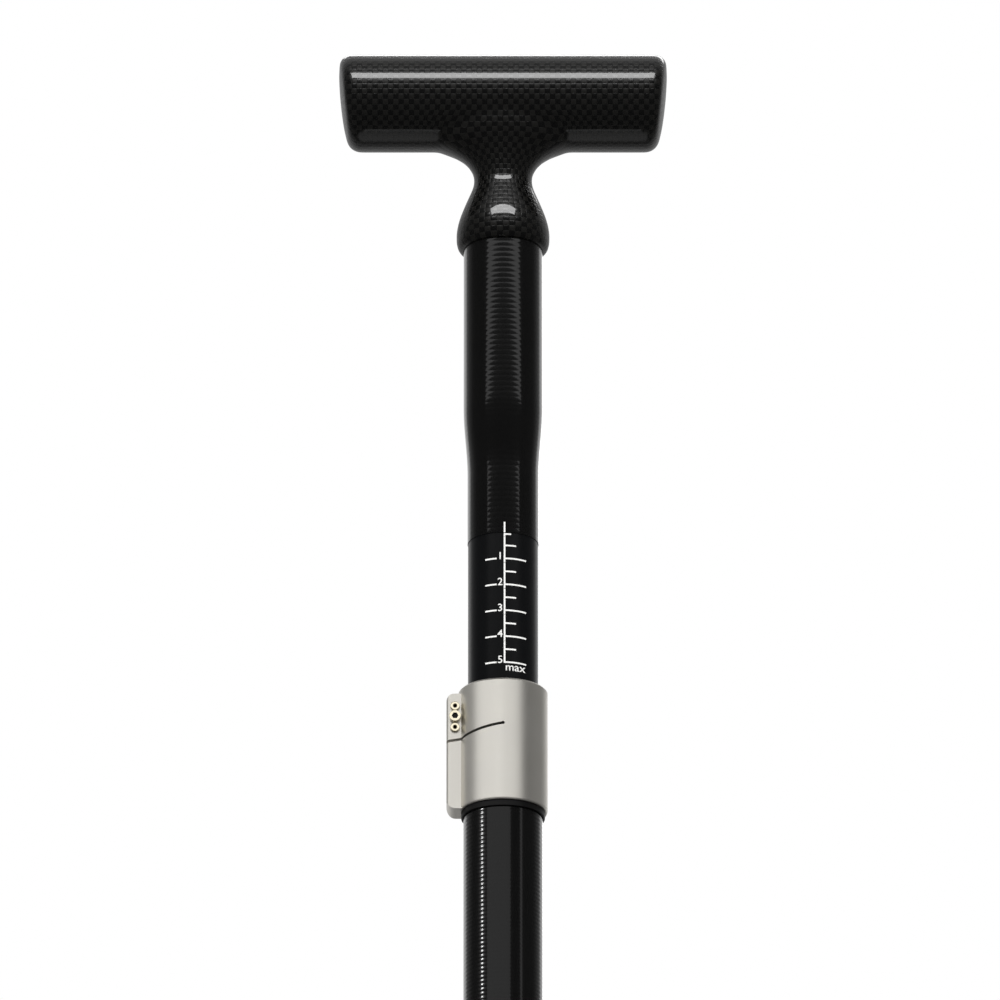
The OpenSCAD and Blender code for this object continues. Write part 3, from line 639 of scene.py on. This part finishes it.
for below, here in zip(neck_sections, neck_sections[1:]):
    bpy.ops.mesh.extrude_region_move(TRANSFORM_OT_translate={"value": (0, 0, (here[0] - below[0]) * MM)})
    bpy.ops.transform.resize(value=(here[1] / below[1], here[2] / below[2], 1),
                             center_override=(0, 0, collar_height + here[0] * MM))
bpy.ops.mesh.select_all(action="SELECT")
bpy.ops.mesh.normals_make_consistent(inside=False)
bpy.ops.object.mode_set(mode="OBJECT")
print("neck sections:", len(neck_sections))

# %% [markdown]
# ### One skin
#
# A voxel remesh makes one skin over the bar and the neck, and smoothing rounds
# every corner by about half a millimetre, which the sizes above allow for. A
# boolean then cuts the flat seat that the handle tube fits.

# %% Flow them together
deselect()
neck.select_set(True)
bar.select_set(True)
bpy.context.view_layer.objects.active = bar
bpy.ops.object.join()
skin = bar.modifiers.new("skin", "REMESH")
skin.mode = "VOXEL"
skin.voxel_size = 0.6 * MM
relax = bar.modifiers.new("relax", "SMOOTH")
relax.factor = 0.5
relax.iterations = 24
apply_modifiers(bar)
deselect()
bpy.ops.mesh.primitive_cylinder_add(vertices=96, radius=tube_radius + 0.1 * MM, depth=6 * MM,
                                    location=(0, 0, collar_height))
seat = bpy.context.object
socket = bar.modifiers.new("socket", "BOOLEAN")
socket.object = seat
socket.operation = "DIFFERENCE"
socket.solver = "EXACT"
apply_modifiers(bar)
bpy.data.objects.remove(seat)
bpy.ops.object.shade_smooth_by_angle(angle=math.radians(40))
finish_piece(bar, weave_material, "handle", ["t_grip"])

# %% [markdown]
# ## Tubes with tape rings
#
# One ring of the tape's pattern is a short band of tube: a long, slightly
# rising face and a narrow groove. An Array modifier stacks it into the tube and
# merges the joins. The handle tube then narrows to the ferrule's size, so its
# lower rings are scaled towards the axis one height at a time.


# %% Ring stack
def wound_tube(name, radius, foot, top, pitch, relief, steps):
    """A tube skin of stacked tape rings from foot to top."""
    count = round((top - foot) / pitch)
    pitch = (top - foot) / count
    profile = [(0.0, -1.0), (0.12, 0.1), (0.55, 0.35), (0.86, 0.2), (1.0, -1.0)]    # shares of pitch and relief
    deselect()
    bpy.ops.mesh.primitive_circle_add(vertices=steps, radius=radius + profile[0][1] * relief,
                                      location=(0, 0, foot))
    tube = bpy.context.object
    tube.name = tube.data.name = name
    bpy.ops.object.transform_apply(location=True, rotation=True, scale=True)
    bpy.context.tool_settings.mesh_select_mode = (True, False, False)
    bpy.ops.object.mode_set(mode="EDIT")
    bpy.ops.mesh.select_all(action="SELECT")
    for below, here in zip(profile, profile[1:]):
        bpy.ops.mesh.extrude_region_move(
            TRANSFORM_OT_translate={"value": (0, 0, (here[0] - below[0]) * pitch)})
        size = (radius + here[1] * relief) / (radius + below[1] * relief)
        bpy.ops.transform.resize(value=(size, size, 1), center_override=(0, 0, foot))
    bpy.ops.object.mode_set(mode="OBJECT")
    stack = tube.modifiers.new("rings", "ARRAY")
    stack.count = count
    stack.use_relative_offset = False
    stack.use_constant_offset = True
    stack.constant_offset_displace = (0, 0, pitch)
    stack.use_merge_vertices = True
    stack.merge_threshold = 0.01 * MM
    apply_modifiers(tube)
    print(name, count, "rings at", round(pitch / MM, 3), "mm")
    return tube


def close_inside(tube, wall):
    """Normals out, then a wall inwards."""
    make_active(tube)
    bpy.ops.object.mode_set(mode="EDIT")
    bpy.ops.mesh.select_all(action="SELECT")
    bpy.ops.mesh.normals_make_consistent(inside=False)
    bpy.ops.object.mode_set(mode="OBJECT")
    thick = tube.modifiers.new("wall", "SOLIDIFY")
    thick.thickness = wall
    thick.offset = -1
    apply_modifiers(tube)
    bpy.ops.object.shade_smooth_by_angle(angle=math.radians(40))


# %% [markdown]
# ### Handle tube
#
# The straight part is the stack as it comes. The lower end swells in over
# 27 mm, on half a cosine wave, from the ferrule's width to the full width.

# %% Handle tube
wall = 1.4 * MM
handle_tube = wound_tube("handle_tube_skin", tube_radius, zero_height, tube_box[1].z, 2.0 * MM, 0.008 * MM, 96)
swell_foot = zero_height + 26 * MM
swell_top = swell_foot + 27 * MM
slim_radius = ferrule_radius + 0.2 * MM
heights = sorted({round(v.co.z, 7) for v in handle_tube.data.vertices if v.co.z < swell_top})
make_active(handle_tube)
bpy.context.tool_settings.mesh_select_mode = (True, False, False)
for height in heights:
    bpy.ops.object.mode_set(mode="EDIT")
    bpy.ops.mesh.select_all(action="DESELECT")
    bpy.ops.object.mode_set(mode="OBJECT")
    for vertex in handle_tube.data.vertices:
        vertex.select = abs(vertex.co.z - height) < 1e-6
    part = min(1, max(0, (height - swell_foot) / (swell_top - swell_foot)))
    blend = (1 - math.cos(math.pi * part)) / 2
    size = (slim_radius + (tube_radius - slim_radius) * blend) / tube_radius
    bpy.ops.object.mode_set(mode="EDIT")
    bpy.ops.transform.resize(value=(size, size, 1), center_override=(0, 0, 0))
bpy.ops.object.mode_set(mode="OBJECT")
close_inside(handle_tube, wall)
finish_piece(handle_tube, wound_material, "handle", ["handle_tube"])

# %% [markdown]
# ### Lower tube
#
# The lower tube is a plain stack with finer rings. It has so many that an
# inner wall with rings too would be wasted, so the bore is one plain surface:
# the top edge is extruded inwards, then down to the foot and bridged across.


# %% Lower tube
def pick_height(piece, height):
    """Selects the vertices at a height, then enters edit mode."""
    make_active(piece)
    bpy.context.tool_settings.mesh_select_mode = (True, False, False)
    bpy.ops.object.mode_set(mode="EDIT")
    bpy.ops.mesh.select_all(action="DESELECT")
    bpy.ops.object.mode_set(mode="OBJECT")
    for vertex in piece.data.vertices:
        vertex.select = abs(vertex.co.z - height) < 0.01 * MM
    bpy.ops.object.mode_set(mode="EDIT")


lower_foot, lower_top = lower_box[0].z, lower_box[1].z
lower_tube = wound_tube("lower_tube_skin", tube_radius - 0.01 * MM, lower_foot, lower_top,
                        1.6 * MM, 0.028 * MM, 48)
bore_share = 12.9 / 14.27    # the bore's radius over the tube's
pick_height(lower_tube, lower_top)
bpy.ops.mesh.extrude_region_move(TRANSFORM_OT_translate={"value": (0, 0, 0)})
bpy.ops.transform.resize(value=(bore_share, bore_share, 1), center_override=(0, 0, 0))
bpy.ops.mesh.extrude_region_move(TRANSFORM_OT_translate={"value": (0, 0, lower_foot - lower_top)})
pick_height(lower_tube, lower_foot)
bpy.ops.mesh.bridge_edge_loops()
bpy.ops.mesh.select_all(action="SELECT")
bpy.ops.mesh.normals_make_consistent(inside=False)
bpy.ops.object.mode_set(mode="OBJECT")
bpy.ops.object.shade_smooth_by_angle(angle=math.radians(40))
finish_piece(lower_tube, wound_material, "lower", ["lower_tube"])

# %% [markdown]
# ## The printed scale
#
# The scale is a film of white ink that follows the tube. It is drawn flat in
# front of the tube, then a Shrinkwrap modifier projects it straight back onto
# the ferrule and a Solidify gives the film its thickness. Marks run every half
# centimetre down from the seam, long ones at the whole centimetres, with
# the numbers beside them and a limit mark under the last.

# %% Draw the scale flat
print_parts = []
print_front = -(tube_radius + 4 * MM)
line_width = 0.6 * MM
line_x = 0.55 * MM


def flat_bar(x_low, x_high, z_low, z_high):
    deselect()
    bpy.ops.mesh.primitive_plane_add(size=1, rotation=(math.pi / 2, 0, 0),
                                     location=((x_low + x_high) / 2, print_front, (z_low + z_high) / 2))
    part = bpy.context.object
    part.scale = (x_high - x_low, z_high - z_low, 1)
    bpy.ops.object.transform_apply(location=True, rotation=True, scale=True)
    bpy.ops.object.mode_set(mode="EDIT")
    bpy.ops.mesh.select_all(action="SELECT")
    cuts = max(1, round((x_high - x_low) / (0.5 * MM)))
    bpy.ops.mesh.subdivide(number_cuts=min(cuts, 20))
    bpy.ops.object.mode_set(mode="OBJECT")
    print_parts.append(part)


def flat_text(words, x, z, height):
    deselect()
    bpy.ops.object.text_add(rotation=(math.pi / 2, 0, 0), location=(x, print_front, z))
    part = bpy.context.object
    part.data.body = words
    part.data.size = height * 1.38
    part.data.offset = 0.03 * MM
    part.data.align_x = "CENTER"
    bpy.ops.object.convert(target="MESH")
    bpy.ops.object.transform_apply(location=True, rotation=True, scale=True)
    bpy.ops.object.mode_set(mode="EDIT")
    bpy.ops.mesh.select_all(action="SELECT")
    bpy.ops.mesh.remove_doubles(threshold=0.001 * MM)
    bpy.ops.mesh.subdivide(number_cuts=2)
    bpy.ops.object.mode_set(mode="OBJECT")
    print_parts.append(part)


cm = 10 * MM
lengths = [(-0.2 * MM, -1.5 * MM)]    # the upright line, in short lengths that each wrap closely
lengths += [(-(i + 0.15) * cm, -(i + 1.15) * cm) for i in range(4)] + [(-4.15 * cm, -5 * cm)]
line_left, line_right = line_x - line_width / 2, line_x + line_width / 2
for upper, lower in lengths:
    flat_bar(line_left, line_right, zero_height + lower - line_width / 2, zero_height + upper)
for half in range(0, 11):
    mark = zero_height - half * cm / 2
    reach = 2.9 if half == 0 else 4.7 if half % 2 else 8.3
    if half == 0:
        mark -= line_width / 2 + 0.3 * MM
    flat_bar(line_x, reach * MM, mark - line_width / 2, mark + line_width / 2)
    if half and half % 2 == 0:
        flat_bar(-6.4 * MM, -2.3 * MM, mark - line_width / 2, mark + line_width / 2)
        flat_text(str(half // 2), -1.05 * MM, mark - line_width / 2, 2.9 * MM)
flat_text("max", 4.4 * MM, zero_height - 5 * cm - 3.2 * MM, 3.1 * MM)
print("scale parts", len(print_parts))

# %% [markdown]
# ### Wrapping
#
# All the marks are joined and wrapped at once. The film stands a few
# hundredths of a millimetre proud, so it clears the clamp's lip as the handle
# slides in. The line's top end lies on the handle tube, so it is wrapped there.


# %% Wrap it on the tubes
def wrap_print(parts, name, tube):
    deselect()
    for part in parts:
        part.select_set(True)
    bpy.context.view_layer.objects.active = parts[0]
    if len(parts) > 1:
        bpy.ops.object.join()
    piece = bpy.context.object
    piece.name = piece.data.name = name
    wrap = piece.modifiers.new("wrap", "SHRINKWRAP")
    wrap.target = tube
    wrap.wrap_method = "PROJECT"
    wrap.use_project_x, wrap.use_project_y, wrap.use_project_z = False, True, False
    wrap.use_positive_direction = True
    wrap.use_negative_direction = False
    wrap.offset = 0.02 * MM
    film = piece.modifiers.new("film", "SOLIDIFY")
    film.thickness = 0.02 * MM
    film.offset = 0
    apply_modifiers(piece)
    finish_piece(piece, ink_material, "handle")
    print("reaches y", round(min(v.co.y for v in piece.data.vertices) / MM, 2),
          round(max(v.co.y for v in piece.data.vertices) / MM, 2))


wrap_print(print_parts, "scale_print", nodes["scale_ferrule"])
print_parts.clear()
flat_bar(line_left, line_right, zero_height, zero_height + 4 * MM)
wrap_print(print_parts, "scale_print_top", handle_tube)

# %% [markdown]
# ## Clamp, lever and fasteners
#
# These keep their CAD shapes with softened edges: about a quarter millimetre on
# the clamp, whose casting is tumbled, and less on the turned pins and nut.

# %% Soften the small parts
soften("clamp_body", "clamp_casting", blasted_material, 0.3 * MM, 3)
soften("guide_pins", "guide_pin_pair", turned_material, 0.25 * MM, 3)
soften("tension_nut", "tension_nut_turned", turned_material, 0.2 * MM, 3)
soften("cam_lever", "cam_lever_arm", lever_material, 0.25 * MM, 2)
soften("lever_pin", "lever_pin_turned", turned_material, 0.15 * MM, 2)
soften("clamp_sleeve", "clamp_sleeve_moulded", nylon_material, 0.2 * MM, 2)

# %% [markdown]
# Six CAD parts are hidden or nearly so, or are already plain round shapes
# with no edge in view. They keep their CAD meshes and get a finish.

# %% Finishes on the CAD parts that stay
for name, material in (("scale_ferrule", satin_material), ("ferrule_plug", rubber_material),
                       ("wiper_ring", rubber_material), ("tension_bolt", oxide_material),
                       ("cam_pad", nylon_material), ("tube_plug", rubber_material)):
    for slot in nodes[name].material_slots:
        slot.material = material
    light_by(nodes[name])
    print(name, "is", material.name)

# %% [markdown]
# ## Bucket, socket and foot step
#
# The plates are laser-cut, so their edges are deburred rather than rounded.
# Each is softened by a few tenths of a millimetre.

# %% Soften the plates
for name in ("sole_plate", "left_bevel", "right_bevel", "left_side", "right_side", "back_plate", "hood_plate"):
    soften(name, name + "_cut", bucket_material, 0.25 * MM, 2)
for name in ("socket_tube", "front_gusset", "rear_gusset", "foot_step", "step_braces"):
    soften(name, name + "_cut", socket_material, 0.4 * MM, 2)
for name in ("hood_rod", "left_rim", "right_rim"):
    soften(name, name + "_bar", rim_material, 0.8 * MM, 3)
soften("digging_lip", "digging_lip_ground", lip_material, 0.5 * MM, 2)
for name in ("cross_bolts", "cross_washers", "cross_nuts"):
    soften(name, name + "_turned", bolt_material, 0.3 * MM, 2)

# %% [markdown]
# ## Weld beads
#
# The plates are TIG-welded along every seam. A bead is a row of small
# overlapping ripples, one for each dab of filler rod, so each ripple is a
# flattened ball and a seam is a row of them. They cover the gapless CAD seams.


# %% Lay beads
tilt = math.radians(55)


def from_bucket(x, y, z):
    """The bucket's own axes, across, to the lip and off the sole, in mm, to the frame's in metres."""
    return Vector((x, y * math.cos(tilt) + z * math.sin(tilt), z * math.cos(tilt) - y * math.sin(tilt))) * MM


def weld(name, seams, radius, pitch):
    """One piece with a row of ripples along each straight part of each seam."""
    rows = []
    for path in seams:
        for start, end in zip(path, path[1:]):
            step = end - start
            count = max(1, round(step.length / pitch))
            deselect()
            bpy.ops.mesh.primitive_uv_sphere_add(segments=10, ring_count=6, radius=radius,
                                                 location=start + step / (2 * count),
                                                 rotation=step.to_track_quat("Z", "Y").to_euler())
            row = bpy.context.object
            row.scale = (1, 1, 0.8 * pitch / radius)
            bpy.ops.object.transform_apply(location=True, rotation=True, scale=True)
            ripples = row.modifiers.new("ripples", "ARRAY")
            ripples.count = count
            ripples.use_relative_offset = False
            ripples.use_constant_offset = True
            ripples.constant_offset_displace = step / count
            apply_modifiers(row)
            rows.append(row)
    for row in rows:
        row.select_set(True)
    bpy.context.view_layer.objects.active = rows[0]
    bpy.ops.object.join()
    rows[0].name = rows[0].data.name = name
    bpy.ops.object.shade_smooth()
    finish_piece(rows[0], weld_material, "lower")


half_sole, half_wide, tall, back, front, chamfer = 50, 75, 115, -114, 56, 25
seams = []
for side in (-1, 1):
    seams.append([from_bucket(side * (half_sole + 0.9), y, 1.3) for y in (back, front)])
    seams.append([from_bucket(side * (half_wide - 0.4), y, chamfer + 0.3) for y in (back, 43)])
    seams.append([from_bucket(side * (half_wide - 0.5), y, tall - 0.5) for y in (back, back + 54)])
corners = [(half_sole - 1, 1.6), (half_wide - 1.3, chamfer + 0.5), (half_wide - 1.3, tall - 1.3)]
corners += [(-x, z) for x, z in reversed(corners)]
seams.append([from_bucket(x, back + 0.4, z) for x, z in corners + corners[:1]])
seams.append([from_bucket(x, front - 0.4, 2.5) for x in (-half_sole + 1, half_sole - 1)])
weld("bucket_welds", seams, 1.4 * MM, 1.8 * MM)

# %% [markdown]
# The socket's ring, both sides of each gusset, and both long edges of the foot
# step are welded to the back plate. A gusset's seam turns with the plates
# where the back meets the hood.

# %% Weld the socket and the step
corner_y = from_bucket(0, back, tall).y    # where the back plate's face meets the hood's


def on_face(x, y):
    """The point of the back plate's outer face, or past the corner the hood's, at x, y of the frame."""
    if y < corner_y:
        return Vector((x, y, (y * math.cos(tilt) - back * MM) / math.sin(tilt)))
    return Vector((x, y, (tall * MM - y * math.sin(tilt)) / math.cos(tilt)))


socket_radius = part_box("socket_tube")[1].x + 0.3 * MM
seams = [[on_face(socket_radius * math.cos(t * math.pi / 24), socket_radius * math.sin(t * math.pi / 24))
          for t in range(49)]]
for gusset, reach in (("front_gusset", (16.5, corner_y / MM, 54.5)), ("rear_gusset", (-16.5, -53.2))):
    low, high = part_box(gusset)
    for x in (low.x, high.x):
        seams.append([on_face(x, y * MM) for y in reach])
        seams.append([Vector((x, math.copysign(socket_radius - 0.4 * MM, reach[0]), z))
                      for z in (on_face(0, reach[0] * MM).z, high.z - 2 * MM)])
low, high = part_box("foot_step")
for z in (low.z, high.z):
    y = (z * math.sin(tilt) + back * MM) / math.cos(tilt)
    seams.append([Vector((x, y - 0.3 * MM, z)) for x in (low.x + 1 * MM, high.x - 1 * MM)])
weld("socket_welds", seams, 1.3 * MM, 1.7 * MM)
